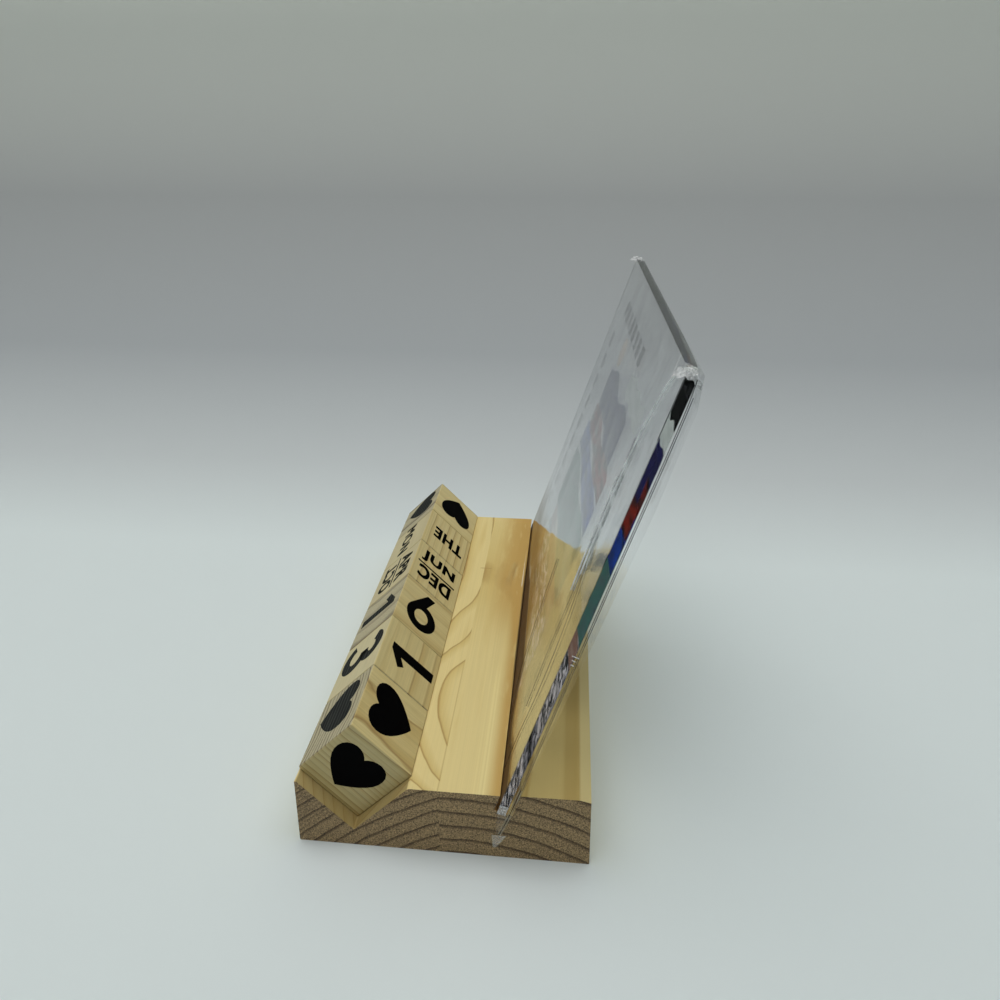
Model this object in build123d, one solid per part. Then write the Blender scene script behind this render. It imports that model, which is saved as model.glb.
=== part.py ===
from build123d import *
import os
from math import cos, radians, sin, sqrt

# Block calendar: a pine base of two boards glued edge to edge, six pine cubes standing on an edge
# in a V-groove, and a clear acrylic panel, still in its film sleeve, leaning back in a sawn slot.
# Millimetres. X runs along the row of cubes, +X to the end with the panel's overhang,
# +Y to the back, +Z up. The origin is at the centre of the base's underside.

os.makedirs("parts", exist_ok=True)

# Cubes and their row
cube_names = ["cube_heart_near", "cube_units", "cube_tens", "cube_month", "cube_weekday", "cube_heart_far"]
cube_side = 24.9
cube_gap = 0.1
cube_edge_radius = 0.5
near_end_recess = 4.0

# Base boards
base_height = 23.2
groove_corner_proud = 0.26
groove_seat_gap = 0.03
groove_floor_half = 0.2
front_lip_blunt = 0.6
lip_radius = 1.4
front_land = 9.0
back_board_width = 44.9
back_land_rise = 0.5
back_bevel_width = 3.4
back_bevel_drop = 0.7
board_arris = 0.3

# Slot for the panel, sawn with the blade tilted
slot_setback = 18.35
slot_lean = 18.5
slot_depth = 5.6
slot_room = 2.4
saw_overrun = 4.0

# Acrylic panel
panel_length = 149.2
panel_height = 146.0
panel_thickness = 3.0
panel_corner_radius = 4.0
panel_edge_chamfer = 0.15
panel_overhang = 1.0
panel_front_gap = 0.53
panel_seat_gap = 0.05

# Film sleeve round the panel
film = 0.1
sleeve_end_slack = 1.0
sleeve_foot_room = 1.7
sleeve_foot_height = 9.0
sleeve_bulge = 3.4
sleeve_bulge_height = 108.0
sleeve_shoulder_drop = 9.0
sleeve_shoulder_room = 2.8
sleeve_top_room = 0.9
ear_hang = 13.2
ear_side_drop = 8.8
ear_width = 5.0
ear_tip = 4.0
top_ear_rise = 2.2
top_ear_run = 8.0

# What follows from the sizes above
cube_pitch = cube_side + cube_gap
cube_half_diagonal = cube_side / sqrt(2)
base_length = len(cube_names) * cube_pitch + near_end_recess
groove_half = cube_half_diagonal - groove_corner_proud
front_board_width = 2 * groove_half + front_land
base_width = front_board_width + back_board_width
front_y = -base_width / 2
joint_y = front_y + front_board_width
back_y = base_width / 2
groove_y = front_y + groove_half
groove_z = base_height - groove_half


def end_to_end(outline):
    """Extrude an outline of (y, z) points along the whole length of the base."""
    face = make_face(Plane.YZ * Polyline(*outline, close=True))
    return Pos(-base_length / 2, 0, 0) * extrude(face, base_length, dir=(1, 0, 0))


def along_x(solid, y, z):
    """The solid's straight edges that run along X through the point (y, z)."""
    lines = solid.edges().filter_by(Axis.X)
    return lines.filter_by(lambda e: abs(e.center().Y - y) < 0.01 and abs(e.center().Z - z) < 0.01)


# Front board: the groove leaves a sharp front lip, which is blunted, and a rounded lip on the land side.
land_edge_y = groove_y + groove_half
front_rail = end_to_end([
    (front_y, 0),
    (joint_y, 0),
    (joint_y, base_height),
    (land_edge_y, base_height),
    (groove_y + groove_floor_half, groove_z + groove_floor_half),
    (groove_y - groove_floor_half, groove_z + groove_floor_half),
    (front_y + front_lip_blunt, base_height - front_lip_blunt),
    (front_y, base_height - front_lip_blunt),
])
front_rail = fillet(along_x(front_rail, land_edge_y, base_height), lip_radius)
front_rail = chamfer(along_x(front_rail, front_y, 0), board_arris)

# Back board: its land behind the slot stands a little higher and is bevelled along the back.
lean = radians(slot_lean)
slot_width = panel_thickness + slot_room
slot_front_y = joint_y + slot_setback
slot_back_y = slot_front_y + slot_width / cos(lean)
back_rail = end_to_end([
    (joint_y, 0),
    (back_y, 0),
    (back_y, base_height),
    (back_y - back_bevel_width, base_height + back_bevel_drop),
    (slot_back_y, base_height + back_land_rise),
    (slot_front_y, base_height),
    (joint_y, base_height),
])
back_rail = chamfer(along_x(back_rail, back_y, 0), board_arris)

# The slot's own frame: local X along the slot to the far end, local Y up the lean, local Z to the back.
# Its origin is the front corner of the slot's floor, level with the panel's near end.
slot_floor_y = slot_front_y - slot_depth * sin(lean)
slot_floor_z = base_height - slot_depth * cos(lean)
panel_near_x = base_length / 2 + panel_overhang
slot_plane = Plane(
    origin=(panel_near_x, slot_floor_y, slot_floor_z),
    x_dir=(-1, 0, 0),
    z_dir=(0, cos(lean), -sin(lean)),
)
saw_cut = Box(
    base_length + 2 * saw_overrun, slot_depth + base_height, slot_width,
    align=(Align.MIN, Align.MIN, Align.MIN),
)
back_rail = back_rail - slot_plane.location * Pos(panel_overhang - saw_overrun, 0, 0) * saw_cut

# Cubes, each turned 45 degrees about X, with its lower faces on the groove's walls.
cube_y = groove_y
cube_z = groove_z + cube_half_diagonal + groove_seat_gap
cube = fillet(Box(cube_side, cube_side, cube_side).edges(), cube_edge_radius)
row_near_x = base_length / 2 - near_end_recess
cubes = {}
for place, name in enumerate(cube_names):
    cube_x = row_near_x - (place + 0.5) * cube_pitch
    cubes[name] = Pos(cube_x, cube_y, cube_z) * Rot(45, 0, 0) * cube

# Panel, modelled in the slot's frame: its front lower near corner is at the panel frame's origin.
panel_place = slot_plane.location * Pos(0, film + panel_seat_gap, panel_front_gap)
panel_face = Pos(panel_length / 2, panel_height / 2) * RectangleRounded(
    panel_length, panel_height, panel_corner_radius
)
panel = extrude(panel_face, panel_thickness)
panel = chamfer(panel.faces().filter_by(Axis.Z).edges(), panel_edge_chamfer)

# Film sleeve: flat on the panel's front, narrow inside the slot and bulging behind the panel above it.
front_film = -film
foot_film = panel_thickness + sleeve_foot_room
sleeve_outline = [
    (-film, front_film),
    (-film, foot_film),
    (sleeve_foot_height, foot_film),
    (sleeve_bulge_height, panel_thickness + sleeve_bulge),
    (panel_height - sleeve_shoulder_drop, panel_thickness + sleeve_shoulder_room),
    (panel_height + film, panel_thickness + sleeve_top_room),
    (panel_height + film, front_film),
]
sleeve_section = make_face(Plane.YZ * Polyline(*sleeve_outline, close=True))
hollow_section = offset(sleeve_section, -film, kind=Kind.INTERSECTION)
sleeve_length = panel_length + 2 * sleeve_end_slack
bag = Pos(-sleeve_end_slack, 0, 0) * extrude(sleeve_section, sleeve_length, dir=(1, 0, 0))
hollow = Pos(film - sleeve_end_slack, 0, 0) * extrude(hollow_section, sleeve_length - 2 * film, dir=(1, 0, 0))


def film_ear(outline, end_x):
    """A flat ear of film, from (height, depth) points, standing in an end of the sleeve."""
    return Pos(end_x, 0, 0) * extrude(make_face(Plane.YZ * Polyline(*outline, close=True)), film, dir=(1, 0, 0))


near_x = -sleeve_end_slack
far_x = near_x + sleeve_length - film
hanging_ear = film_ear([
    (2 * film, front_film),
    (-ear_side_drop, front_film + ear_width / 4),
    (-ear_hang, ear_tip),
    (-ear_side_drop, front_film + ear_width),
    (2 * film, foot_film),
], near_x)
near_top_ear = film_ear([
    (panel_height - top_ear_run, panel_thickness),
    (panel_height, panel_thickness + sleeve_top_room),
    (panel_height + top_ear_rise, panel_thickness),
    (panel_height, front_film),
], near_x)
far_top_ear = film_ear([
    (panel_height - top_ear_run, panel_thickness),
    (panel_height, panel_thickness + sleeve_top_room),
    (panel_height + top_ear_rise, panel_thickness / 2),
    (panel_height, front_film),
], far_x)
film_sleeve = bag - hollow + hanging_ear + near_top_ear + far_top_ear

nodes = {
    "front_rail": front_rail,
    "back_rail": back_rail,
    "acrylic_panel": panel_place * panel,
    "film_sleeve": panel_place * film_sleeve,
}
nodes.update(cubes)
for name, shape in nodes.items():
    export_step(shape, "parts/" + name + ".step")
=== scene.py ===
import math

import bmesh
import bpy
from mathutils import Matrix, Vector, noise


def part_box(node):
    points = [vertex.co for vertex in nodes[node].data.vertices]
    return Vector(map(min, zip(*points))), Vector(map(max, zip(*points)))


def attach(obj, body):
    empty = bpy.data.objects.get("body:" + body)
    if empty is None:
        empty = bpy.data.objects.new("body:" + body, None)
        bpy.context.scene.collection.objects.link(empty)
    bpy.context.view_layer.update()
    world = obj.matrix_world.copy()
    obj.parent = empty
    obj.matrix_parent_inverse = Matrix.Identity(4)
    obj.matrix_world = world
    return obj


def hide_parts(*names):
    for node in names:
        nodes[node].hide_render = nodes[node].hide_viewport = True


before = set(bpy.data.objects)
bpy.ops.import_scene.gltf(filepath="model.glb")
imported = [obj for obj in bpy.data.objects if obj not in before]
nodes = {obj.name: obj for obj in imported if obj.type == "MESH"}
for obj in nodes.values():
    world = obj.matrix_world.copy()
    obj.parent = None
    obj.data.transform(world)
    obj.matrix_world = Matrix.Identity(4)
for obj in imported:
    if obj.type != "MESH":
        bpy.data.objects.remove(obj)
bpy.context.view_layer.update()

scene = bpy.context.scene


# Camera: close to the near end of the row, above the cubes and almost in line with the panel.
# Only a part of the lens's picture is used, so its centre lies high in the frame.
def look_frame(azimuth, elevation, roll):
    """A camera's axes as a matrix, for a look along azimuth (0 is +Y, 90 is -X), down by elevation."""
    a, e, r = (math.radians(angle) for angle in (azimuth, elevation, roll))
    look = Vector((-math.sin(a) * math.cos(e), math.cos(a) * math.cos(e), -math.sin(e)))
    level = Vector((math.cos(a), math.sin(a), 0))
    upright = level.cross(look)
    right = level * math.cos(r) + upright * math.sin(r)
    up = upright * math.cos(r) - level * math.sin(r)
    return Matrix((right, up, -look)).transposed().to_4x4()


camera_place = (0.237503, 0.035491, 0.209746)
camera_look = look_frame(azimuth=95.089, elevation=15.939, roll=-0.085)
camera_data = bpy.data.cameras.new("camera")
camera_data.lens = 25.474
camera_data.shift_x = -0.01107
camera_data.shift_y = -0.16657
camera_data.clip_start = 0.01
camera = bpy.data.objects.new("camera", camera_data)
camera.matrix_world = Matrix.Translation(camera_place) @ camera_look
scene.collection.objects.link(camera)
scene.camera = camera


# Stage: a sweep of pale matt paper that turns up behind the object, under a wide soft box. It comes
# first, so it also holds what every finish is made with: arithmetic on a socket adds Math nodes, every
# other node comes from Finish.node, and a finish is a Principled shader with its constants on its sockets.
class Value:
    """A number or colour that a node gives, which can be reckoned with."""

    def __init__(self, finish, socket):
        self.finish = finish
        self.socket = socket

    def reckon(self, operation, first, second=0.0):
        return self.finish.node("ShaderNodeMath", {"operation": operation}, {0: first, 1: second})

    def __add__(self, other):
        return self.reckon("ADD", self, other)

    __radd__ = __add__

    def __sub__(self, other):
        return self.reckon("SUBTRACT", self, other)

    def __rsub__(self, other):
        return self.reckon("SUBTRACT", other, self)

    def __mul__(self, other):
        return self.reckon("MULTIPLY", self, other)

    __rmul__ = __mul__

    def __truediv__(self, other):
        return self.reckon("DIVIDE", self, other)

    def __pow__(self, other):
        return self.reckon("POWER", self, other)

    def fraction(self):
        return self.reckon("FRACT", self)

    def size(self):
        return self.reckon("ABSOLUTE", self)

    def least(self, other):
        return self.reckon("MINIMUM", self, other)

    def most(self, other):
        return self.reckon("MAXIMUM", self, other)

    def rise(self, low, high):
        """0 up to low, 1 from high on, and a smooth step between them."""
        return self.finish.node(
            "ShaderNodeMapRange",
            {"interpolation_type": "SMOOTHSTEP"},
            {"Value": self, "From Min": low, "From Max": high},
        )

    def near(self, middle, flat, fade):
        """1 within flat of the middle, falling to 0 over a further fade."""
        return 1 - (self - middle).size().rise(flat, flat + fade)


def paint(red, green, blue):
    """A colour from its 0 to 255 screen values, as the linear light that a shader takes."""
    def linear(c):
        return c / 12.92 if c <= 0.04045 else ((c + 0.055) / 1.055) ** 2.4
    return (*(linear(c / 255) for c in (red, green, blue)), 1.0)


class Finish:
    """A material made of nodes round one Principled shader."""

    def __init__(self, name, constants):
        self.material = bpy.data.materials.new(name)
        self.material.use_nodes = True
        self.tree = self.material.node_tree
        self.shader = self.tree.nodes["Principled BSDF"]
        for socket, value in constants.items():
            self.shader.inputs[socket].default_value = value

    def node(self, kind, settings, inputs, output=0):
        """Adds a node, sets it up, fills its inputs, and gives back one of its outputs."""
        made = self.tree.nodes.new(kind)
        for name, value in settings.items():
            if name == "stops":
                ramp = made.color_ramp
                while len(ramp.elements) < len(value):
                    ramp.elements.new(0.5)
                for element, (place, colour) in zip(ramp.elements, value):
                    element.position = place
                    element.color = colour
            elif name == "points":
                curve = made.mapping.curves[0]
                for place in value[1:-1]:
                    curve.points.new(*place)
                curve.points[0].location = value[0]
                curve.points[-1].location = value[-1]
                made.mapping.update()
            else:
                setattr(made, name, value)
        for name, value in inputs.items():
            if isinstance(value, Value):
                self.tree.links.new(value.socket, made.inputs[name])
            else:
                made.inputs[name].default_value = value
        return Value(self, made.outputs[output])

    def feed(self, socket, value):
        self.tree.links.new(value.socket, self.shader.inputs[socket])

    def place(self):
        """The point that is shaded, as a vector in metres."""
        return self.node("ShaderNodeTexCoord", {}, {}, "Object")

    def facing(self):
        """The direction that the surface faces there, as a vector."""
        return self.node("ShaderNodeTexCoord", {}, {}, "Normal")

    def attribute(self, name):
        """A number that the mesh's vertices carry."""
        return self.node("ShaderNodeAttribute", {"attribute_name": name}, {}, "Fac")

    def axes(self, vector):
        """The three numbers of a vector."""
        split = self.node("ShaderNodeSeparateXYZ", {}, {"Vector": vector})
        return [Value(self, split.socket.node.outputs[i]) for i in range(3)]

    def millimetres(self):
        """The x, y and z of the point that is shaded, in millimetres."""
        return [axis * 1000 for axis in self.axes(self.place())]

    def along(self, vector, direction):
        """How far a vector reaches along a direction."""
        return self.node(
            "ShaderNodeVectorMath", {"operation": "DOT_PRODUCT"}, {0: vector, 1: direction}, "Value",
        )

    def cloud(self, x, y, z, detail=2.0, roughness=0.5):
        """Noise from 0 to 1, about 1 across in the numbers given."""
        where = self.node("ShaderNodeCombineXYZ", {}, {"X": x, "Y": y, "Z": z})
        return self.node(
            "ShaderNodeTexNoise", {"noise_dimensions": "3D"},
            {"Vector": where, "Scale": 1.0, "Detail": detail, "Roughness": roughness},
        )

    def mix(self, factor, first, second):
        """Mixes two colours, each a colour or a node's output."""
        return self.node(
            "ShaderNodeMix", {"data_type": "RGBA"}, {0: factor, 6: first, 7: second}, 2,
        )

    def shade(self, colour, factor):
        """A colour times a number."""
        return self.node("ShaderNodeVectorMath", {"operation": "SCALE"}, {0: colour, "Scale": factor})

    def bump(self, height, depth):
        """Feeds the shader's normal from a height of 0 to 1, depth metres deep."""
        bumped = self.node("ShaderNodeBump", {}, {"Height": height, "Strength": 1.0, "Distance": depth})
        self.feed("Normal", bumped)


def new_piece(name, mesh, *materials):
    """Makes an object of a bmesh, at the origin, and frees the bmesh."""
    data = bpy.data.meshes.new(name)
    mesh.to_mesh(data)
    mesh.free()
    for material in materials:
        data.materials.append(material)
    made = bpy.data.objects.new(name, data)
    scene.collection.objects.link(made)
    return made


def dress(node, material):
    """Gives a CAD node a material in place of its own."""
    nodes[node].data.materials.clear()
    nodes[node].data.materials.append(material)


def only(kind, parts):
    """Those of a bmesh operator's parts that are of a kind."""
    return [part for part in parts if isinstance(part, kind)]


sweep_turn_x = -0.10
sweep_radius = 0.30
sweep_half_width = 2.0
sweep_front_x = 2.5
sweep_top_z = 1.6
sweep_steps = 48
paper = bmesh.new()
ends = [paper.verts.new((sweep_front_x, side * sweep_half_width, 0)) for side in (-1, 1)]
edge = [paper.edges.new(ends)]
run = bmesh.ops.extrude_edge_only(paper, edges=edge)["geom"]
line = [part for part in only(bmesh.types.BMEdge, run) if all(v not in ends for v in part.verts)]
row = list(line[0].verts)
for corner in row:
    corner.co.x = sweep_turn_x
turn = bmesh.ops.spin(
    paper, geom=row + line, cent=(sweep_turn_x, 0, sweep_radius), axis=(0, 1, 0),
    angle=math.radians(90), steps=sweep_steps, use_merge=False,
)["geom_last"]
wall = bmesh.ops.extrude_edge_only(paper, edges=only(bmesh.types.BMEdge, turn))["geom"]
for corner in only(bmesh.types.BMVert, wall):
    corner.co.z = sweep_top_z
bmesh.ops.recalc_face_normals(paper, faces=paper.faces)
for face in paper.faces:
    face.smooth = True
sweep_paper = Finish("sweep_paper", {"Roughness": 0.75, "Specular IOR Level": 0.2})
x, _, z = sweep_paper.axes(sweep_paper.place())
# Painted shade and light: the paper is pale on the floor, greyer up the turn and paler again near the top,
# for how the soft box above lights it.
sweep_paper.feed("Base Color", sweep_paper.node("ShaderNodeValToRGB", {"stops": [
    (0.08, paint(227, 236, 237)), (0.17, paint(205, 211, 213)), (0.315, paint(177, 182, 185)),
    (0.52, paint(176, 179, 179)), (0.75, paint(230, 234, 225)),
]}, {"Fac": z - x}))
floor = new_piece("sweep", paper, sweep_paper.material)

world = bpy.data.worlds.new("studio")
scene.world = world
world.use_nodes = True
sky = world.node_tree.nodes["Background"]
sky.inputs["Color"].default_value = (0.80, 0.87, 0.88, 1.0)
sky.inputs["Strength"].default_value = 0.20


def soft_box(name, place, target, size, power, colour):
    """A square soft light at a place, facing a target."""
    data = bpy.data.lights.new(name, "AREA")
    data.shape = "SQUARE"
    data.size = size
    data.energy = power
    data.color = colour
    made = bpy.data.objects.new(name, data)
    made.location = place
    made.rotation_euler = (Vector(target) - Vector(place)).to_track_quat("-Z", "Y").to_euler()
    scene.collection.objects.link(made)


soft_box("top_light", (-0.25, -0.10, 1.50), (-0.05, 0.02, 0), 1.9, 26.5, (1.0, 0.985, 0.965))
scene.view_settings.view_transform = "Standard"

# Base: two pine boards glued edge to edge, planed on top and sawn across at the ends. The years'
# rings are nearly flat arcs about a pith far below, and wander along the board as the tree grew.
pale_pine = paint(232, 211, 147)
warm_pine = paint(214, 185, 110)
late_pine = paint(180, 145, 82)
sawn_pine = paint(158, 132, 92)
sawn_late = paint(84, 61, 34)
slot_shade_brown = paint(150, 95, 30)

half_length = 77.0  # of a board, in mm
most_drift = 12.0  # of a ring to either side, in mm
ripple_middle = 0.925  # what the ripple adds to a ring's radius on average, in mm
torn_radius = 148.0  # from which the saw has torn the end grain, in mm from the pith


def ring_pine(name, pith, first_ring, ring_width, wander):
    """Flat-sawn pine with its grain along X, its rings round a pith at (y, z): its finish, place in mm,
    planed colour, sawn colour and where it's sawn. wander gives (x, mm) points of the rings' drift."""
    wood = Finish(name, {"Roughness": 0.5, "Specular IOR Level": 0.35})
    x, y, z = wood.millimetres()
    sawn = wood.axes(wood.facing())[0].size().rise(0.6, 0.8)
    across = y - pith[0]
    above = z - pith[1]
    radius = (across * across + above * above) ** 0.5
    points = [((px + half_length) / (2 * half_length), 0.5 + mm / (2 * most_drift)) for px, mm in wander]
    way_along = (x + half_length) / (2 * half_length)
    drift = wood.node("ShaderNodeFloatCurve", {"points": points}, {"Factor": 1.0, "Value": way_along})
    ripple = wood.cloud(x / 42, y / 13, z / 13) * 1.5 + wood.cloud(x / 9, y / 4, z / 4) * 0.35
    drifted = radius + (drift - 0.5) * (2 * most_drift) + ripple
    years = (drifted - ripple_middle - first_ring) / ring_width
    year = years.fraction()
    tone = wood.node("ShaderNodeValToRGB", {"stops": [
        (0.0, pale_pine), (0.50, pale_pine), (0.88, paint(218, 193, 124)),
        (0.955, late_pine), (1.0, pale_pine),
    ]}, {"Fac": year})
    fibre = wood.cloud(x / 60, y * 1.9, z * 1.9, 3.0, 0.6)
    figure_cloud = wood.cloud(x / 45, y / 6 + 3.7, z / 6, 3.0)
    planed = wood.mix(figure_cloud.rise(0.50, 0.75) * 0.45, tone, warm_pine)
    planed = wood.shade(planed, 0.90 + fibre * 0.20)
    speckle = wood.cloud(x * 0.4, y * 2.1, z * 2.1, 5.0, 0.9)
    blur = wood.cloud(x / 5, y / 3, z / 3, 2.0)
    dark = year.rise(0.66, 0.93) * (1 - year.rise(0.95, 1.0)) * (0.55 + blur * 0.8)
    saw_lines = ((radius + blur * 1.6) / 1.35).fraction().rise(0.35, 0.75)
    torn = saw_lines * (radius + blur * 6).rise(torn_radius, torn_radius + 4.0)
    cut = wood.mix(dark.most(torn * 0.5 * speckle.rise(0.3, 0.6)), sawn_pine, sawn_late)
    cut = wood.shade(cut, (speckle * 8.4 - 3.2).most(0.2))
    wood.bump(fibre * (1 - sawn) * 0.5 + speckle * sawn, 0.00014)
    return wood, (x, y, z), planed, cut, sawn


# The front board's own marks: the glue line along the joint, and a short knife cut across it.
wood, (x, y, z), planed, cut, sawn = ring_pine("pine_front_board", (55.0, -105.5), 121.8, 4.1, [
    (-77, 1.5), (-30, 2.2), (-14, 1.5), (0, -1.4), (10, -2.6), (20, -5.5), (38, -8.8), (61, -6.0), (77, 0),
])
glue_line = y.near(-0.75, 0.05, 0.35) * x.rise(20, 32)
planed = wood.mix(glue_line * 0.4, planed, late_pine)
knife_cut = x.near(-34.0, 0.12, 0.25) * y.rise(-2.8, -1.9)
planed = wood.mix(knife_cut * 0.7, planed, late_pine)
# Painted shade: the groove that the cubes sit in is painted darker.
groove_shade = (1 - z.rise(22.6, 23.0)) * y.near(-26.95, 16.9, 0.3)
wood.feed("Base Color", wood.mix(sawn, wood.mix(groove_shade * 0.65, planed, paint(140, 120, 78)), cut))
front_pine = wood.material

# The back board's: resin-stained wood along the slot's front edge, a splintered bit of that edge, bright
# plane streaks, and a darker band before the bevel; painted shade on the slot's walls, along its front edge
# and on the land behind it.
wood, (x, y, z), planed, cut, sawn = ring_pine("pine_back_board", (4.0, -71.5), 92.7, 5.1, [
    (-77, 1.2), (-60, 1.7), (-25, 2.5), (10, 1.0), (40, 0.2), (77, 0),
])
slot_front_y, slot_back_y = 17.75, 23.45
on_land = z.rise(22.9, 23.1)
mottle = wood.cloud(x / 16, y / 3.5, 1.5, 3.0)
stain = y.rise(1.5, 12.0) * (1 - x.rise(-25, 20)) * 0.9 + y.rise(12.5, 17.0) * 0.95
stain = stain * mottle.rise(0.2, 0.5) * (1 - y.rise(18, 18.5)) * on_land
planed = wood.mix(stain.least(1.0), planed, paint(202, 163, 90))
streak = (y.near(11.6, 0.15, 0.4) + y.near(12.7, 0.1, 0.35) + y.near(9.8, 0.05, 0.3) * 0.5) * x.rise(20, 34)
planed = wood.mix(streak.least(1.0) * 0.5 * mottle.rise(0.2, 0.5) * on_land, planed, paint(244, 226, 160))
knife_cut = x.near(-34.0, 0.12, 0.25) * (1 - y.rise(2.2, 2.9)) * on_land
planed = wood.mix(knife_cut * 0.7, planed, late_pine)
splinter = (y - 16.9 + x.rise(-52, -22) * 0.5).rise(0.0, 0.2) * (1 - y.rise(16.9, 17.1))
splinter = splinter * x.near(-36.0, 12.0, 3.0) * on_land
planed = wood.mix(splinter * 0.7, planed, paint(240, 232, 206))
# Painted shade: the land behind the slot is painted darker, under the leaning panel, and its bevel less so. A
# darker band runs before the bevel.
behind = y.rise(slot_back_y - 0.4, slot_back_y) * on_land
planed = wood.mix(behind * y.near(38.3, 1.3, 1.6) * 0.55, planed, paint(160, 126, 62))
planed = wood.mix(behind * 0.7, planed, paint(176, 151, 86))
planed = wood.mix(behind * y.rise(40.5, 41.5), planed, paint(210, 192, 134))
# Painted shade: a dark brown strip along the slot's front edge, which the panel also mirrors.
rim_shade = y.near(17.8, 0.35, 0.2) * (1 - x.rise(22, 40)) * x.rise(-50, -20) * on_land
planed = wood.mix(rim_shade * (1 - splinter) * 0.8, planed, paint(80, 57, 24))
# Painted shade: the slot's walls are painted deep brown, for the shade inside the narrow slot.
slot_middle_y = (slot_front_y + slot_back_y) / 2 - 1.0
in_slot = (1 - z.rise(21.8, 23.0)) * y.near(slot_middle_y, 3.9, 0.3) * z.rise(16.0, 17.0)
planed = wood.mix(in_slot * 0.8, planed, slot_shade_brown)
wood.feed("Base Color", wood.mix(sawn, planed, cut))
back_pine = wood.material

dress("front_rail", front_pine)
dress("back_rail", back_pine)

# Cubes: sawn from pine battens and sanded, so the grain runs another way in each one.
# A face that cuts across the fibres is rough and grey, and shows each ring as a line.
cube_side = 24.9
side = cube_side / 1000
ridge_up = Vector((0, -1, 1)).normalized()
back_up = Vector((0, 1, 1)).normalized()
near = Vector((1, 0, 0))
cube_bodies = {
    "cube_heart_near": "heart_near", "cube_units": "units", "cube_tens": "tens",
    "cube_month": "month", "cube_weekday": "weekday", "cube_heart_far": "heart_far",
}


def cube_centre(node):
    """The middle of a cube, as it stands in the frame."""
    low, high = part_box(node)
    return (low + high) / 2


def cube_pine(name, centre, fibre, outward, ring_width, shift, paleness, lines):
    """Pine with straight fibres along one direction and rings stacked outward along another. shift
    moves its pattern, paleness mixes in pale wood, and lines is how dark its cut rings are."""
    wood = Finish(name, {"Roughness": 0.48, "Specular IOR Level": 0.5})
    place = wood.node("ShaderNodeVectorMath", {"operation": "SUBTRACT"}, {0: wood.place(), 1: centre})
    f, o, s = (wood.along(place, direction) * 1000 for direction in (fibre, outward, fibre.cross(outward)))
    bend = (wood.cloud(f / 32 + shift, o / 9, s / 9) - 0.5) * 3.0
    years = (o + bend + s * s * 0.008 + shift * 7) / ring_width
    year = years.fraction()
    strength = wood.cloud((years - year) * 2.3 + 0.5, shift, 0.5, 0.0).rise(0.30, 0.62)
    tone = wood.node("ShaderNodeValToRGB", {"stops": [
        (0.0, paint(208, 191, 136)), (0.40, paint(207, 189, 132)), (0.84, paint(190, 165, 104)),
        (0.93, paint(150, 118, 66)), (1.0, paint(197, 177, 120)),
    ]}, {"Fac": year})
    pale = wood.mix((1 - strength) * 0.7, tone, paint(207, 190, 134))
    thread = wood.cloud(f / 22, o * 1.8 + shift, s * 1.8, 3.0, 0.6)
    blush = wood.cloud(f / 14 + shift, o / 6, s / 6, 2.0)
    planed = wood.mix(blush.rise(0.5, 0.8) * 0.5, pale, paint(190, 168, 108))
    planed = wood.mix(paleness, planed, paint(209, 193, 138))
    planed = wood.shade(planed, 0.86 + thread * 0.46)
    normal = wood.facing()
    # Painted sheen: faces turned to the front and up are painted paler and greyer.
    planed = wood.mix(wood.along(normal, ridge_up).rise(0.6, 0.9) * 0.35, planed, paint(206, 200, 172))
    # Painted shade: the faces towards the near and far ends are painted a little darker.
    on_end = wood.along(normal, near).size().rise(0.6, 0.9)
    planed = wood.shade(planed, 1 - on_end * 0.12)
    # Painted shade: a dark strip along the edges where each cube meets the next, for the shade in the gaps
    # between them.
    gap_shade = (wood.along(place, near) * 1000).size().rise(12.1, 12.45) * (0.4 + blush * 0.6) * (1 - on_end)
    sawn = wood.along(normal, fibre).size().rise(0.6, 0.85)
    grit = wood.cloud(f * 0.5, o * 3.2, s * 1.1, 4.0, 0.75)
    dark = year.rise(0.50, 0.92) * (1 - year.rise(0.95, 1.0)) * (0.45 + strength * 0.55) * lines
    cut = wood.mix(dark, paint(190, 178, 140), paint(92, 74, 48))
    cut = wood.shade(cut, 0.45 + grit * 1.10)
    wood.feed("Base Color", wood.mix(gap_shade * 0.75, wood.mix(sawn, planed, cut), paint(92, 68, 38)))
    wood.bump(thread * (1 - sawn) * 0.4 + grit * sawn, 0.00012)
    return wood.material


# Each cube's grain: fibre direction, outward direction, ring width in mm, shift, paleness and lines.
grains = {
    "cube_heart_near": (ridge_up, back_up, 1.9, 0.3, 0.10, 1.0),
    "cube_units": (near, ridge_up, 6.5, 1.2, 0.25, 0.8),
    "cube_tens": (ridge_up, near, 7.5, 2.4, 0.15, 0.8),
    "cube_month": (near, ridge_up, 5.2, 3.1, 0.30, 0.8),
    "cube_weekday": (near, ridge_up, 3.9, 4.6, 0.15, 0.8),
    "cube_heart_far": (ridge_up, near, 9.0, 5.3, 0.45, 0.8),
}
for node, grain in grains.items():
    dress(node, cube_pine("pine_" + node, cube_centre(node), *grain))


# Figures: black ink printed on the cubes' faces. Each is an outline in parts of the cube's side,
# (0, 0) at the face's lower left corner, filled, and raised off the wood by the ink's thickness.
ink_proud = 0.015


def arc(centre, radius, start, stop, steps=24):
    """Points of an arc from start to stop, in degrees, with a radius in each direction."""
    cx, cy = centre
    rx, ry = radius
    turns = [math.radians(start + (stop - start) * i / steps) for i in range(steps + 1)]
    return [(cx + rx * math.cos(t), cy + ry * math.sin(t)) for t in turns]


def ring(centre, radius):
    """A whole ellipse."""
    return arc(centre, radius, 0, 345, 23)


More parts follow.
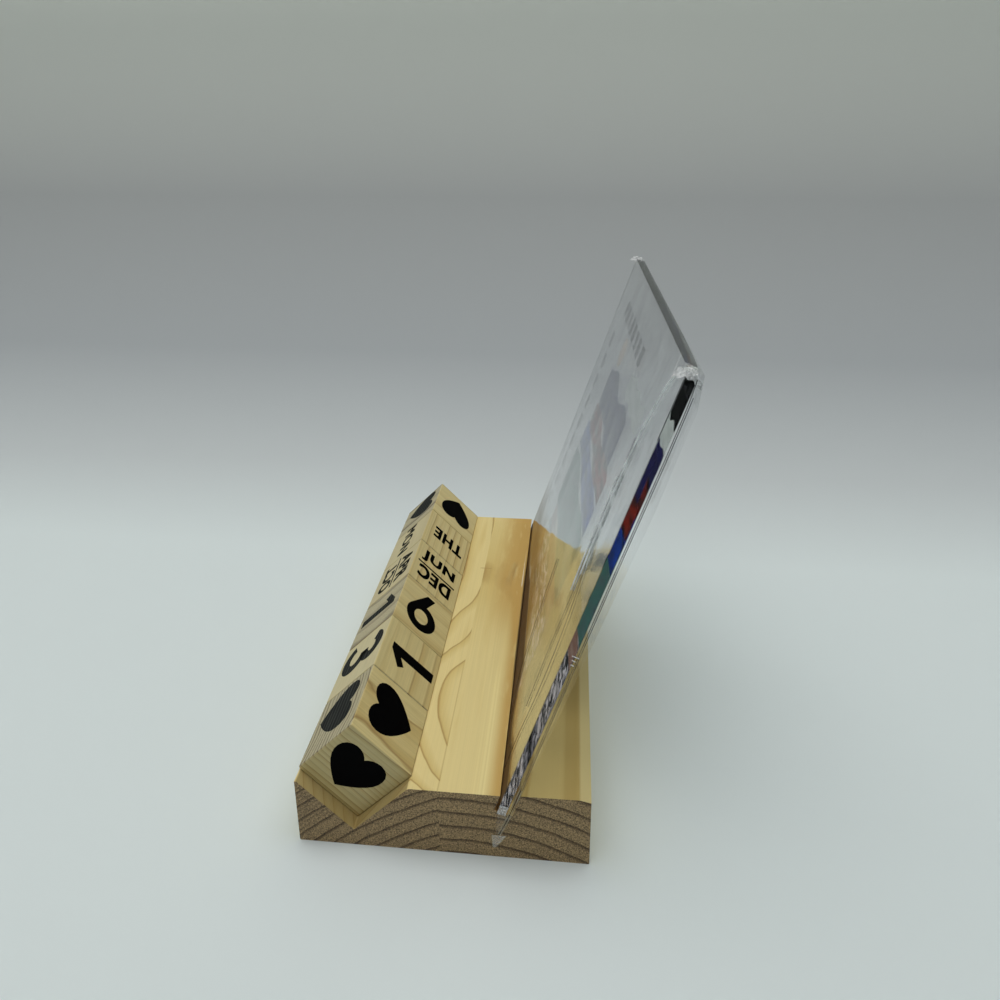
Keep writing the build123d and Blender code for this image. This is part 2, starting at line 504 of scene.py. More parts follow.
def stroke(path, width):
    """The outline of a line of the given width that follows a path, with mitred corners."""
    points = [Vector(p) for p in path]
    left, right = [], []
    for i, point in enumerate(points):
        before = (point - points[i - 1]).normalized() if i else None
        after = (points[i + 1] - point).normalized() if i + 1 < len(points) else None
        first, last = before or after, after or before
        middle = (first + last).normalized()
        aside = Vector((-middle.y, middle.x))
        reach = width / 2 / max(0.35, aside.dot(Vector((-first.y, first.x))))
        left.append(point + aside * reach)
        right.append(point - aside * reach)
    return [tuple(p) for p in left + right[::-1]]


def heart(cx, cy, width, height):
    """A heart with its point down, centred at (cx, cy)."""
    half = [(0, 0.33), (0.04, 0.385), (0.10, 0.435), (0.18, 0.47), (0.27, 0.48), (0.36, 0.455), (0.43, 0.40),
            (0.478, 0.32), (0.497, 0.22), (0.49, 0.11), (0.456, 0.0), (0.395, -0.11), (0.31, -0.22),
            (0.21, -0.325), (0.105, -0.42), (0, -0.50)]
    outline = half + [(-x, y) for x, y in half[-2:0:-1]]
    return filled([[(cx + x * width, cy + y * height / 0.98) for x, y in outline]])


# Each figure is a list of parts that may overlap, and each part an outline with the holes in it.
figures = {
    "0": [[ring((0.5, 0.5), (0.27, 0.38)), ring((0.5, 0.5), (0.12, 0.23))]],
    "1": [[[(0.592, 0.064), (0.592, 0.83), (0.48, 0.83), (0.245, 0.656), (0.31, 0.56), (0.43, 0.645),
            (0.43, 0.064)]]],
    "2": [[stroke(arc((0.49, 0.66), (0.17, 0.16), 165, -35) + [(0.30, 0.165), (0.74, 0.165)], 0.145)]],
    "3": [[stroke(arc((0.45, 0.685), (0.185, 0.15), 165, -90), 0.16)],
          [stroke(arc((0.44, 0.330), (0.225, 0.195), 92, -160), 0.16)]],
    "4": [[[(0.66, 0.10), (0.66, 0.24), (0.78, 0.24), (0.78, 0.38), (0.66, 0.38), (0.66, 0.88), (0.50, 0.88),
            (0.19, 0.36), (0.19, 0.24), (0.51, 0.24), (0.51, 0.10)],
           [(0.51, 0.38), (0.34, 0.38), (0.51, 0.66)]]],
    "5": [[stroke([(0.72, 0.81), (0.38, 0.81), (0.33, 0.52)]
                  + arc((0.47, 0.35), (0.205, 0.20), 120, -150), 0.145)]],
    "6": [[arc((0.463, 0.382), (0.287, 0.258), 152, 440, 34) + [(0.63, 0.885), (0.47, 0.885)],
           ring((0.46, 0.388), (0.134, 0.134))]],
    "7": [[stroke([(0.25, 0.80), (0.70, 0.80), (0.42, 0.09)], 0.15)]],
    "8": [[arc((0.5, 0.67), (0.215, 0.20), -35, 215, 30) + arc((0.5, 0.31), (0.265, 0.24), 140, 400, 34),
           ring((0.5, 0.67), (0.085, 0.075)), ring((0.5, 0.31), (0.125, 0.105))]],
}


def meshed(curve):
    """The mesh of a flat curve or a text, as a bmesh."""
    holder = bpy.data.objects.new("holder", curve)
    scene.collection.objects.link(holder)
    bpy.context.view_layer.update()
    data = bpy.data.meshes.new_from_object(holder.evaluated_get(bpy.context.evaluated_depsgraph_get()))
    bpy.data.objects.remove(holder)
    flat = bmesh.new()
    flat.from_mesh(data)
    bpy.data.meshes.remove(data)
    bmesh.ops.remove_doubles(flat, verts=flat.verts, dist=1e-6)
    return flat


def filled(outlines):
    """A thin plate of outlines, where one outline inside another is a hole, as a bmesh."""
    curve = bpy.data.curves.new("outline", "CURVE")
    curve.dimensions = "2D"
    curve.fill_mode = "BOTH"
    curve.extrude = ink_proud / cube_side
    for outline in outlines:
        loop = curve.splines.new("POLY")
        loop.points.add(len(outline) - 1)
        loop.points.foreach_set("co", [n for x, y in outline for n in (x, y, 0, 1)])
        loop.use_cyclic_u = True
    return meshed(curve)


def turned(flat, degrees):
    """The same plate, turned about the middle of its face."""
    about = Matrix.Rotation(math.radians(degrees), 3, "Z")
    bmesh.ops.rotate(flat, verts=flat.verts, cent=(0.5, 0.5, 0), matrix=about)
    return flat


def join(whole, part):
    """Adds a bmesh to another and frees it."""
    data = bpy.data.meshes.new("part")
    part.to_mesh(data)
    part.free()
    whole.from_mesh(data)
    bpy.data.meshes.remove(data)


def word(text, middle, length, height, degrees):
    """A word in bold capitals of a length and height, centred at a point and turned by degrees. Copies
    laid a little apart make it bold, because an offset turns an M's outline inside out."""
    letters = bpy.data.curves.new("word", "FONT")
    letters.body = text
    letters.align_x = "CENTER"
    letters.align_y = "CENTER"
    letters.offset = 0.0 if "M" in text else 0.015
    letters.space_character = 1.12
    letters.extrude = 0.73 * ink_proud / cube_side / height
    once = meshed(letters)
    flat = bmesh.new()
    apart = 0.048 if "M" in text else 0.035
    for across, along in ((-1, -1), (0, -1), (1, -1), (-1, 1), (1, 1)):
        again = once.copy()
        bmesh.ops.translate(again, verts=again.verts, vec=(across * apart, along * 0.02, 0))
        join(flat, again)
    once.free()
    low = [min(v.co[i] for v in flat.verts) for i in (0, 1)]
    high = [max(v.co[i] for v in flat.verts) for i in (0, 1)]
    long, tall = length / (high[0] - low[0]), height / (high[1] - low[1])
    centre = Vector(((low[0] + high[0]) / 2, (low[1] + high[1]) / 2, 0))
    bmesh.ops.translate(flat, verts=flat.verts, vec=-centre)
    bmesh.ops.scale(flat, verts=flat.verts, vec=(long, tall, tall))
    bmesh.ops.translate(flat, verts=flat.verts, vec=(0.5, 0.5, 0))
    turned(flat, degrees)
    bmesh.ops.translate(flat, verts=flat.verts, vec=(middle[0] - 0.5, middle[1] - 0.5, 0))
    return flat


def figure(name, degrees=0, shift=(0, 0)):
    """A figure's plate, turned on its face and moved along it."""
    flat = bmesh.new()
    for part in figures[name]:
        join(flat, filled(part))
    turned(flat, degrees)
    bmesh.ops.translate(flat, verts=flat.verts, vec=(*shift, 0))
    return flat


def two_months(first, second, degrees=0):
    """Two months foot to foot about a line across the face: the cube is turned round for the other one."""
    flat = filled([[(0.08, 0.477), (0.90, 0.477), (0.90, 0.512), (0.08, 0.512)]])
    join(flat, word(first, (0.49, 0.715), 0.73, 0.295, 0))
    join(flat, word(second, (0.49, 0.305), 0.71, 0.295, 180))
    return turned(flat, degrees)


def lay(flat, corner, right, up, out):
    """Lays a plate with its lower left corner at a point, by the directions of its sides and face."""
    place = Matrix((right * side, up * side, out * side)).transposed().to_4x4()
    flat.transform(Matrix.Translation(corner) @ place)
    return flat


def on_face(flat, centre, normal, up):
    """Lays a plate on a cube's face, with its up direction along the face."""
    right = up.cross(normal)
    return lay(flat, centre + (normal - right - up) * side / 2, right, up, normal)


black_ink = Finish("black_ink", {"Roughness": 0.7, "Specular IOR Level": 0.03})
x, y, z = black_ink.millimetres()
worn = black_ink.cloud(x / 14, (y + z) * 1.5, (z - y) * 1.5, 3.0, 0.6)
# Ink on the faces turned to the front and up is greyer, in ridged stripes and patches.
front_up_faces = black_ink.along(black_ink.facing(), ridge_up).rise(0.6, 0.8)
ridges = (((y + z) * 0.7071 + worn * 1.2) / 1.9).fraction().rise(0.45, 0.9)
grey = (ridges * 0.35 + worn.rise(0.45, 0.7) * 0.3 + 0.16) * front_up_faces + worn.rise(0.6, 0.8) * 0.04
black_ink.feed("Base Color", black_ink.mix(grey, paint(1, 1, 2), paint(84, 86, 82)))

front_up, back_down, front_down, far = ridge_up, -ridge_up, -back_up, -near
# A cube's six faces, each with the way that is up on it, and what each cube shows on them in turn.
faces = [
    (back_up, ridge_up), (front_up, back_up), (near, back_up), (far, back_up),
    (back_down, near), (front_down, near),
]
heart_faces = faces[:4] + [(back_down, back_up), (front_down, ridge_up)]


def plain_hearts(count):
    """Hearts in the middle of their faces."""
    return [heart(0.5, 0.5, 0.73, 0.67) for _ in range(count)]


prints = {
    "cube_heart_near": [
        heart(0.54, 0.515, 0.72, 0.66), heart(0.425, 0.475, 0.74, 0.70), heart(0.465, 0.50, 0.745, 0.665),
        *plain_hearts(3),
    ],
    "cube_units": [
        figure("1"), figure("3", 0, (-0.05, 0.02)), figure("0"), figure("2"), figure("4"), figure("5"),
    ],
    "cube_tens": [
        figure("6", -90), figure("1", 0, (-0.01, 0.03)), figure("0"), figure("2"), figure("7"), figure("8"),
    ],
    "cube_month": [
        two_months("JUN", "DEC", -90), two_months("APR", "OCT"), two_months("JAN", "JUL"),
        two_months("FEB", "AUG"), two_months("MAR", "SEP"), two_months("MAY", "NOV"),
    ],
    "cube_weekday": [
        word("THE", (0.5, 0.47), 0.68, 0.30, 90), word("MON", (0.46, 0.45), 0.86, 0.27, 0),
        word("TUE", (0.5, 0.5), 0.70, 0.29, 0), word("WED", (0.5, 0.5), 0.78, 0.29, 0),
        word("THU", (0.5, 0.5), 0.72, 0.29, 0), word("FRI", (0.5, 0.5), 0.60, 0.29, 0),
    ],
    "cube_heart_far": [
        turned(heart(0.5, 0.46, 0.72, 0.65), 90), heart(0.38, 0.51, 0.70, 0.70), *plain_hearts(4),
    ],
}
for node, body in cube_bodies.items():
    centre = cube_centre(node)
    whole = bmesh.new()
    for flat, (normal, up) in zip(prints[node], heart_faces if "heart" in node else faces):
        join(whole, on_face(flat, centre, normal, up))
    bmesh.ops.recalc_face_normals(whole, faces=whole.faces)
    printed = new_piece("print_" + node, whole, black_ink.material)
    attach(printed, body)

# Panel: clear cast acrylic, 3 mm thick, leaning in the slot. Its faces and laser-cut edges are glossy,
# and the arrises are painted as dark hairlines, painted shade. Lamps shine straight through it, as through
# any clear plate.
lean = math.radians(18.5)
panel_foot = Vector((0.078, 0.01652, 0.01786))  # its front lower corner at the near end
panel_thickness = 3.0
up_lean = Vector((0, math.sin(lean), math.cos(lean)))
to_back = Vector((0, math.cos(lean), -math.sin(lean)))
acrylic_ior = 1.49
clear_tint = (0.985, 0.99, 0.99, 1.0)
acrylic = Finish("clear_acrylic", {"Roughness": 0.0, "IOR": acrylic_ior, "Transmission Weight": 1.0})
depth_in = (acrylic.along(acrylic.place(), to_back) - panel_foot.dot(to_back)) * 1000
on_edge = 1 - acrylic.along(acrylic.facing(), to_back).size().rise(0.2, 0.8)
# Painted shade: dark hairlines painted along the arrises.
arris = (depth_in.near(0.0, 0.07, 0.10) + depth_in.near(panel_thickness, 0.07, 0.10)) * on_edge
acrylic.feed("Base Color", acrylic.mix(arris, clear_tint, (0.05, 0.05, 0.06, 1.0)))
rays = acrylic.node("ShaderNodeLightPath", {}, {}, "Is Shadow Ray")
soft_rays = Value(acrylic, rays.socket.node.outputs["Is Diffuse Ray"])
open_air = acrylic.node("ShaderNodeBsdfTransparent", {}, {"Color": (0.90, 0.92, 0.92, 1.0)})
plate = Value(acrylic, acrylic.shader.outputs[0])
# The near end's cut mirrors less than the rest, so that the print shows through it.
near_end = acrylic.along(acrylic.facing(), near).rise(0.9, 0.99)
unlit_cut = acrylic.node(
    "ShaderNodeBsdfRefraction", {}, {"Color": clear_tint, "Roughness": 0.0, "IOR": acrylic_ior},
)
body = acrylic.node("ShaderNodeMixShader", {}, {0: near_end * 0.7, 1: plate, 2: unlit_cut})
lit = acrylic.node("ShaderNodeMixShader", {}, {0: rays.most(soft_rays), 1: body, 2: open_air})
acrylic.tree.links.new(lit.socket, acrylic.tree.nodes["Material Output"].inputs["Surface"])
dress("acrylic_panel", acrylic.material)


# Print on the panel: inks laid on its back face, a small landscape of hills by a lake under a low sun,
# in a frame of dark squares. (u, v) is millimetres from the panel's near end and up its lean.
def on_panel(u, v, w):
    """The point u from the near end, v up the lean and w behind the front face, in millimetres."""
    return panel_foot + (far * u + up_lean * v + to_back * w) / 1000


shallow_print, print_depth, deep_print = 2.86, 2.90, 2.94


def panel_print(name, outlines, finish, depth=print_depth):
    """Flat shapes of ink just inside the panel's back face."""
    flat = filled([[(u / cube_side, v / cube_side) for u, v in outline] for outline in outlines])
    lay(flat, on_panel(0, 0, depth), far, up_lean, to_back)
    bmesh.ops.recalc_face_normals(flat, faces=flat.faces)
    made = new_piece(name, flat, finish.material)
    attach(made, "panel")


def ink(name, colour, second, cover, broken=False):
    """Ink that runs from one colour into another in streaks, and lets a little light through. Broken
    ink covers in patches."""
    made = Finish(name, {"Roughness": 0.6, "Specular IOR Level": 0.0})
    x, y, z = made.millimetres()
    streaks = made.cloud(x / 9, y / 2, z / 2, 3.0)
    made.feed("Base Color", made.mix(streaks.rise(0.35, 0.65), colour, second))
    dots = made.cloud(x * 1.5, y * 1.5, z * 1.5, 2.0)
    patches = made.cloud(x / 7, y / 2.6, z / 2.6, 4.0, 0.65).rise(0.46, 0.52) if broken else 1.0
    made.feed("Alpha", ((dots * 0.3 + 0.85) * cover).least(1.0) * patches)
    return made


def hills(low, high, crest, left, right, wave):
    """A band of land between two wavy edges."""
    steps = 40
    spans = [left + (right - left) * i / steps for i in range(steps + 1)]
    top = [(u, high + crest * math.sin((u - left) / wave * math.tau)) for u in spans]
    foot = [(u, low + crest * 0.6 * math.sin((u - left) / wave * math.tau + 1.3)) for u in spans]
    return [top + foot[::-1]]


# Each part of the landscape: its shapes, its ink's colour and second colour, how much of what is behind
# it the ink covers, and its depth. An ink is named after the first word of its part.
landscape = {
    "navy_hills": (hills(95, 111.5, 2.0, 43, 104, 34), (22, 18, 62), (34, 34, 92), 1.0, print_depth),
    "red_hills": (hills(84.5, 94.5, 1.5, 37, 106, 40), (132, 34, 20), (38, 16, 16), 1.0, print_depth),
    "blue_lake": (hills(73, 83.5, 0.8, 37, 110, 50), (20, 62, 162), (24, 46, 104), 1.0, print_depth),
    "teal_hills": (hills(46, 71.5, 1.5, 37, 112, 44), (62, 113, 104), (79, 99, 102), 1.0, print_depth),
    "brown_ground": (hills(37, 45, 1.0, 38, 106, 60), (132, 92, 80), (160, 136, 126), 1.0, print_depth),
    "sun": ([ring((96, 118.5), (5.5, 5.5))], (208, 184, 166), (216, 198, 180), 0.6, deep_print),
    "cloud": (hills(115, 123, 0.8, 26, 62, 12), (194, 200, 198), (210, 215, 213), 0.9, print_depth),
    "shore": (hills(0.9, 36.5, 1.2, 36, 108, 30), (30, 31, 33), (64, 64, 68), 1.0, deep_print),
}
for name, (outlines, colour, second, cover, depth) in landscape.items():
    made = ink(name.split("_")[0] + "_ink", paint(*colour), paint(*second), cover)
    panel_print("print_" + name, outlines, made, depth)
ripple_ink = ink("ripple_ink", paint(236, 232, 244), paint(150, 148, 156), 1.0, broken=True)
panel_print("print_ripples", hills(1.4, 36, 1.0, 37, 107, 25), ripple_ink)


def box(u, v, wide, tall):
    """The outline of a box with its lower corner at (u, v)."""
    return [(u, v), (u + wide, v), (u + wide, v + tall), (u, v + tall)]


squares = [box(u, 125.5, 6, 6.5) for u in range(58, 122, 9)]
for column_u in (19, 130):
    squares += [box(column_u, v, 6, 7) for v in range(19, 118, 10)]
grey_ink = ink("grey_ink", paint(20, 20, 22), paint(38, 40, 42), 0.95)
panel_print("print_grey_frame", squares, grey_ink)
reeds = []
for i in range(22):
    u, v = 38.0 + i * 3.3, 14 + 7.5 * (i % 3)
    bend, tall = 0.8 * math.sin(i * 1.9), 5.0 + 1.5 * math.sin(i * 2.7)
    reeds.append([(u, v), (u + 0.9, v), (u + 1.1 + bend, v + tall), (u + 0.5 + bend, v + tall)])
panel_print("print_reeds", reeds, grey_ink, shallow_print)

# Film sleeve: a loose bag of clear packing film, flat on the panel's front and bulging behind it. Its
# welded corners stand off as crumpled ears, and the one under the near end hangs down.
film = Finish("clear_film", {"IOR": 1.5})
x, y, z = film.millimetres()
# The mesh says where the film is creased, where it carries a painted reflection of the slot's dark mouth, and
# where the slot's painted shadow darkens it.
crease = film.attribute("crease")
glancing = film.node("ShaderNodeLayerWeight", {}, {"Blend": 0.5}, "Facing") ** 5
dip = film.attribute("dip")
shadow = film.attribute("shadow")
# Painted reflection and painted shadow: the film is tinted brown where it mirrors the slot's dark mouth, and
# turns dull brown where the slot's shadow is painted on it.
tinted = film.mix(dip, (0.94, 0.955, 0.965, 1.0), paint(112, 88, 50))
film.feed("Base Color", film.mix(shadow.rise(0.0, 0.25), tinted, paint(96, 66, 14)))
film.feed("Metallic", (1 - crease.rise(0.12, 0.45)) * (1 - shadow.rise(0.2, 0.6)))
film.feed("Roughness", (crease * 0.3 + shadow.rise(0.5, 1.0) * 0.95 + 0.05).least(1.0))
film.feed("Alpha", (glancing * (1.4 + dip * 0.75 + shadow * 0.9) + crease + 0.003).least(0.94))
wrinkle = film.cloud(x * 0.9, y * 0.9, z * 0.9, 2.0)
film.bump(wrinkle * crease, 0.0006)

foot_v, top_v, front_w = -0.05, 146.05, -0.05
bag_near_u, bag_far_u = -0.95, 150.15
back_wall = [(-0.05, 4.65), (9.0, 4.65), (108.0, 6.35), (137.0, 5.75), (146.05, 3.85)]
foot_rows, wall_rows, top_rows, columns = 4, 84, 4, 100
# How high up the front wall the painted reflection of the slot's mouth and the slot's painted shadow reach,
# as (u, v) points along the slot.
mouth_reflection_reach = [(10, 5.5), (25, 7.0), (34, 10), (42, 15), (50, 20), (65, 26), (110, 33), (150, 36)]
shadow_reach = [
    (0, 12), (13, 12.5), (17, 10.5), (25, 9.5), (33, 11.5), (40, 14.5), (47, 16.5), (93, 14.5),
    (100, 12), (110, 10), (122, 8.5), (135, 7), (150, 6),
]
shadow_foot = 5.0


def between(points, place):
    """The height over a place of a line through (place, height) points."""
    for (x0, y0), (x1, y1) in zip(points, points[1:]):
        if place <= x1:
            return y0 + (y1 - y0) * max(0.0, (place - x0) / (x1 - x0))
    return points[-1][1]


def bag_outline(row):
    """The bag's outline, row by row: under the panel, up its front, over its top and down its back."""
    if row <= foot_rows:
        return foot_v, between([(0, between(back_wall, foot_v)), (foot_rows, front_w)], row), 0.0
    row -= foot_rows
    if row <= wall_rows:
        return foot_v + (top_v - foot_v) * row / wall_rows, front_w, -1.0
    row -= wall_rows
    if row <= top_rows:
        return top_v, between([(0, front_w), (top_rows, between(back_wall, top_v))], row), 0.0
    v = top_v - (top_v - foot_v) * (row - top_rows) / wall_rows
    return v, between(back_wall, v), 1.0


def held(value):
    """The value, held between 0 and 1."""
    return max(0.0, min(1.0, value))


def band(value, middle, half, fade):
    """1 within half of the middle, falling to 0 over a further fade."""
    return 1 - held((abs(value - middle) - half) / fade)


def crinkle(u, v, seed):
    """Smooth noise, from about -1 to 1, that changes over 1 in u and v."""
    return noise.noise(Vector((u, v, seed)))


bag = bmesh.new()
rows = foot_rows + 2 * wall_rows + top_rows
bmesh.ops.create_grid(bag, x_segments=columns, y_segments=rows, size=0.5)
crease_layer = bag.verts.layers.float.new("crease")
mouth_reflection_layer = bag.verts.layers.float.new("dip")
shadow_layer = bag.verts.layers.float.new("shadow")
for vert in bag.verts:
    u = bag_near_u + (vert.co.x + 0.5) * (bag_far_u - bag_near_u)
    v, w, wall_side = bag_outline(round((vert.co.y + 0.5) * rows))
    off_ends = min(1.0, min(u - bag_near_u, bag_far_u - u) / 10)
    off_folds = held((v - 8) / 12) * min(1.0, (top_v - v) / 10)
    haze = mirrored_mouth = shadowed = 0.0
    if wall_side > 0:
        slack = crinkle(u / 12, v / 17, 3.3) * 0.5 + crinkle(u / 4, v / 8, 8.1) * 0.2
        w += (slack - 0.35) * off_ends * off_folds
        haze = 0.03 * band(v, 128, 8, 0.8) + 0.10 * band(v, 119.5, 0.2, 1.4)
    elif wall_side < 0:
        lift = crinkle(u / 22, v / 30, 1.7) * 0.22
        w -= (0.06 + abs(lift)) * off_ends * held((v - 7) / 8)
        seam_u = 18.5 - 7 * held((v - 105) / 35)
        beside_seam = band(u, 6, seam_u - 6, 1.5) * min(1.0, (u - bag_near_u) / 2)
        haze = 0.06 * beside_seam + 0.30 * band(u, seam_u, 0.1, 1.4) * band(v, 115, 30, 18)
        # Painted reflection and painted shadow: low on the front wall the film mirrors the slot's dark mouth,
        # and above it the slot's shadow is painted on.
        mirrored_mouth = held((between(mouth_reflection_reach, u) + 1.3 - v) / (1.6 + u / 9))
        if v > shadow_foot:
            shadowed = held((between(shadow_reach, u) - v) / 3.5 + 0.5)
    pucker = abs(crinkle(u / 5, v / 9, 5.0 + wall_side))
    vert.co = on_panel(u, v, w)
    vert[mouth_reflection_layer] = mirrored_mouth
    vert[shadow_layer] = shadowed
    vert[crease_layer] = haze + 0.05 * max(0.0, 0.4 - pucker) * off_ends
bmesh.ops.remove_doubles(bag, verts=bag.verts, dist=1e-6)

# The ends: each open edge is drawn in to a welded seam a little behind the middle of the bag.
for end_u, out in ((bag_near_u, 0.05), (bag_far_u, -0.05)):
    end_x = on_panel(end_u, 0, 0).x
    rim_edges = [e for e in bag.edges if e.is_boundary and all(abs(v.co.x - end_x) < 1e-5 for v in e.verts)]
    drawn = bmesh.ops.extrude_edge_only(bag, edges=rim_edges)["geom"]
    for vert in only(bmesh.types.BMVert, drawn):
        offset = vert.co - panel_foot
        v = offset.dot(up_lean) * 1000
        seam_w = 0.2 + 0.72 * between(back_wall, v) + 0.15 * math.sin(v / 7)
        vert.co = on_panel(end_u - out, min(top_v - 1.0, max(foot_v + 0.5, v)), seam_w)
        vert[crease_layer] = 0.0
bmesh.ops.remove_doubles(bag, verts=bag.verts, dist=2e-5)


def ear(columns, rows, depth, seed, haze, *corners):
    """A flap of film between four (u, v, w) corners, crumpled to a depth in mm, as a bmesh. seed picks
    the crumple, and haze is how white its creases are."""
    flap = bmesh.new()
    bmesh.ops.create_grid(flap, x_segments=columns, y_segments=rows, size=0.5)
    layer = flap.verts.layers.float.new("crease")
    a, b, c, d = (Vector(corner) for corner in corners)
    for vert in flap.verts:
        s, t = vert.co.x + 0.5, vert.co.y + 0.5
        place = a.lerp(b, s).lerp(d.lerp(c, s), t)
        shift = noise.noise_vector(place * 1.3 + Vector((seed, 0, 0)))
        place += Vector((shift.x * 0.25, shift.y, shift.z)) * depth
        vert.co = on_panel(*place)
        vert[layer] = haze * (0.2 + 1.2 * abs(noise.noise(place * 1.5 + Vector((0, seed, 0)))))
    return flap


# Unseeded, noise_vector starts somewhere else in each run, and the ears crumple another way.
noise.seed_set(1)
# In turn: three at the near top corner and the fold beside them, one at the far top corner, one at the
# slot's near end, and the upper and lower part of the hanging tail.
ears = [
    ear(14, 8, 0.5, 1.0, 1.8,
        (-0.85, 143.2, -3.3), (-0.85, 144.2, 0.6), (1.2, 146.0, 0.9), (0.6, 145.6, -2.4)),
    ear(14, 10, 0.5, 5.0, 1.8,
        (-0.85, 144.2, -0.6), (-0.85, 143.6, 2.8), (0.9, 146.0, 2.6), (1.4, 146.2, 0.2)),
    ear(14, 10, 0.25, 7.0, 3.4,
        (-0.85, 145.2, 1.6), (-0.85, 143.2, 2.4), (-0.8, 142.2, 4.5), (-0.6, 144.2, 4.2)),
    ear(12, 10, 0.3, 9.0, 0.5,
        (-0.85, 145.8, -1.2), (-0.85, 145.6, 2.2), (3.0, 146.3, 2.6), (3.4, 146.4, -0.4)),
    ear(14, 10, 0.4, 3.0, 3.5,
        (147.4, 145.2, -2.7), (147.4, 145.0, 2.6), (149.4, 147.3, 2.2), (149.3, 146.7, -1.6)),
    ear(12, 12, 0.15, 15.0, 1.2,
        (-0.7, 4.3, 0.1), (-0.7, 4.3, 2.7), (-0.7, 0.9, 2.7), (-0.7, 0.9, 0.1)),
    ear(10, 14, 0.06, 11.0, 0.06,
        (-0.85, 1.0, 0.4), (-0.85, 1.0, 4.3), (-0.85, -6.4, 3.8), (-0.85, -6.4, 2.2)),
    ear(12, 12, 0.08, 13.0, 0.45,
        (-0.85, -7.2, 1.3), (-0.85, -6.0, 5.3), (-0.85, -11.2, 3.9), (-0.85, -11.6, 3.1)),
]
for flap in ears:
    join(bag, flap)
film_bag = new_piece("film_bag", bag, film.material)
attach(film_bag, "panel")
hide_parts("film_sleeve")

# The film's welds and folds: where it is doubled it shows as hairlines, dark or bright by how they lie.
# Two dark ones run down the near end's weld, and a white one down the front.
def film_lines(name, lines, radius, colour, cover):
    """Hairlines along lists of (u, v, w) points, smoothed, of a radius in millimetres."""
    curve = bpy.data.curves.new(name, "CURVE")
    curve.dimensions = "3D"
    curve.bevel_depth = radius / 1000
    curve.bevel_resolution = 1
    curve.resolution_u = 4
    for line in lines:
        run = curve.splines.new("NURBS")
        run.points.add(len(line) - 1)
        for point, place in zip(run.points, line):
            point.co = (*on_panel(*place), 1)
        run.order_u = 3
        run.use_endpoint_u = True
    doubled = Finish(name, {"Base Color": colour, "Roughness": 0.35})
    x, y, z = doubled.millimetres()
    breaks = doubled.cloud(x / 3, y / 5, z / 5, 3.0)
    doubled.feed("Alpha", (breaks.rise(0.25, 0.6) * 0.6 + 0.4) * cover)
    curve.materials.append(doubled.material)
    made = bpy.data.objects.new(name, curve)
    scene.collection.objects.link(made)
    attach(made, "panel")


def down_the_end(line, shift=0.0):
    """A line of (v, w) points on the near end's weld, shifted to the back."""
    return [(weld_u, v, w + shift) for v, w in line]


weld_u = -0.84
weld = [
    (144.5, 2.7), (140, 3.1), (130, 3.3), (115, 3.35), (90, 3.3), (65, 3.4), (45, 3.5), (28, 3.55), (12, 3.8),
]
front_fold = [(143.5, -0.25), (139, -0.25), (133, -0.25), (127, -0.25)]
tail = [(12, 3.85), (4.3, 3.8), (0, 3.73), (-3.7, 3.5), (-6.2, 3.2)]
tail_edges = [(-7.2, 1.3), (-9.0, 1.9), (-11.6, 3.1)], [(-11.4, 3.8), (-9.0, 4.6), (-6.2, 5.2)]
film_lines("film_weld_lines", [
    down_the_end(weld[:6]), down_the_end(weld[1:6], 0.45), down_the_end(front_fold),
], 0.10, paint(30, 30, 34), 1.0)
film_lines("film_low_weld_lines", [
    down_the_end(weld[5:]), down_the_end(weld[5:], 0.45),
], 0.09, paint(120, 110, 84), 0.8)
film_lines("film_fold_lines", [
    [(9.5, 7, -0.4), (10.5, 15, -0.5), (8.5, 32, -0.5), (8.5, 50, -0.5), (11, 66, -0.45), (15, 78, -0.4)],
    [(17, 74, -0.4), (17.5, 60, -0.4), (17, 42, -0.4), (15, 26, -0.4)],
], 0.09, paint(76, 60, 32), 0.5)
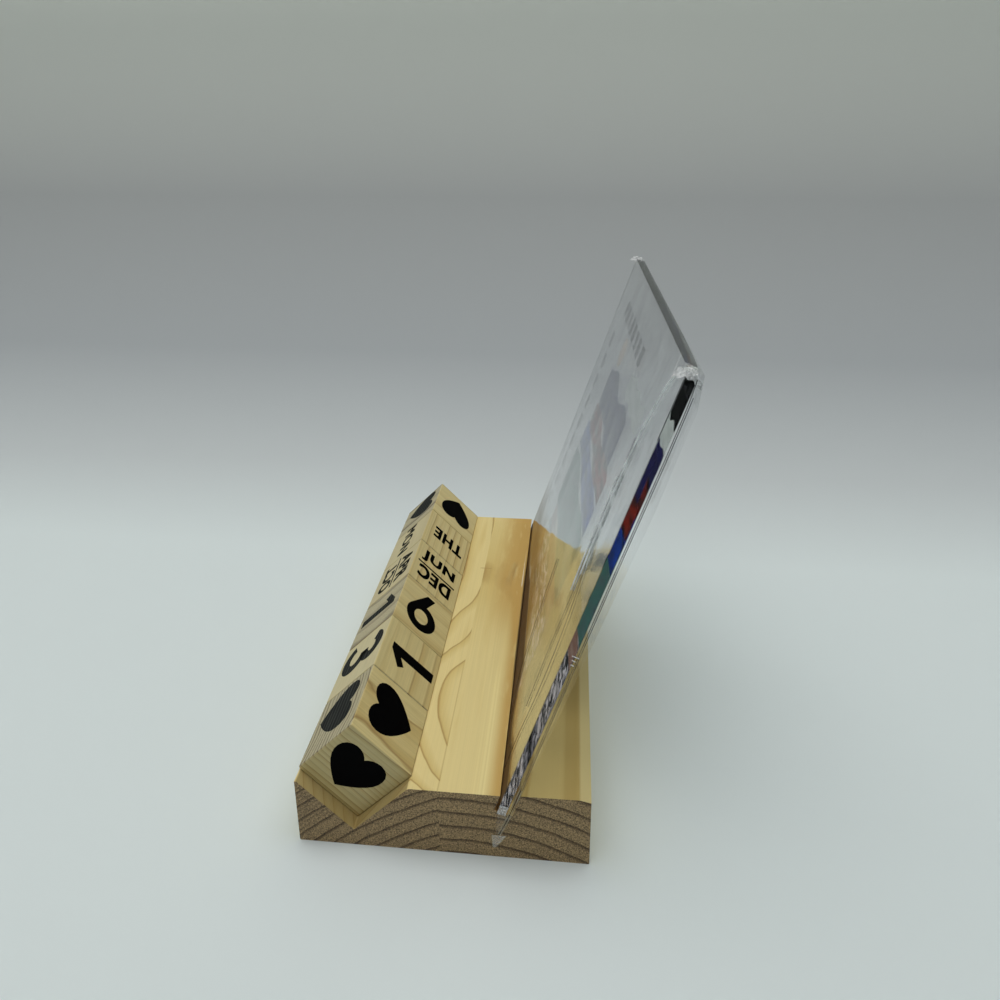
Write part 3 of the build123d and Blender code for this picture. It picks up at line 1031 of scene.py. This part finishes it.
film_lines("film_bulge_line", [
    [(12, 12, -0.4), (17, 8.2, -0.45), (25, 6.6, -0.45), (34, 8.2, -0.45), (42, 13.5, -0.45),
     (48, 24, -0.45), (53, 38, -0.45), (57, 51, -0.4)],
], 0.13, paint(84, 62, 26), 0.4)
film_lines("film_seam_lines", [
    [(1.5, 145.6, -0.5), (9, 141, -0.55), (14, 131, -0.55), (18.3, 114, -0.55), (18.6, 99, -0.55),
     (18, 86, -0.5), (17, 74, -0.5)],
    [(22, 104, -0.5), (20.5, 92, -0.5), (21.5, 80, -0.5), (20, 66, -0.5)],
], 0.24, paint(246, 250, 252), 1.0)
# Painted highlights: three small white glints on the film's near end.
film_lines("film_painted_glints", [
    down_the_end([(61.0, 1.8), (60.9, 3.9)]),
    down_the_end([(59.7, 2.2), (59.5, 3.2)]),
    down_the_end([(58.2, 2.4), (58.1, 3.3)]),
], 0.13, paint(255, 255, 255), 1.0)
film_lines("film_tail_fold", [down_the_end(tail)], 0.15, paint(58, 50, 34), 0.9)
film_lines("film_tail_lines", [
    down_the_end(tail, -0.4), down_the_end(tail, 0.4), *(down_the_end(edge) for edge in tail_edges),
], 0.12, paint(200, 190, 160), 0.7)

# Over the panel's top the bag is folded twice into a strip that runs on behind the panel, painted smoky grey
# as a painted reflection of the dark surroundings.
strip = [(4, 2.95), (10, 3.3), (32, 3.68), (149.6, 3.7), (149.6, 0.0), (6, 0.0), (4, 0.6)]
fold_v = 146.12
top_fold = filled([[(u / cube_side, w / cube_side) for u, w in strip]])
lay(top_fold, on_panel(0, fold_v, 0), far, to_back, up_lean)
bmesh.ops.recalc_face_normals(top_fold, faces=top_fold.faces)
fold_reflection = Finish("folded_film", {"Base Color": paint(84, 87, 86), "Roughness": 0.3})
x, y, z = fold_reflection.millimetres()
fold_reflection.feed("Alpha", fold_reflection.cloud(x / 12, y * 1.2, z * 1.2, 3.0) * 0.4 + 0.18)
film_top_fold = new_piece("film_top_fold", top_fold, fold_reflection.material)
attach(film_top_fold, "panel")
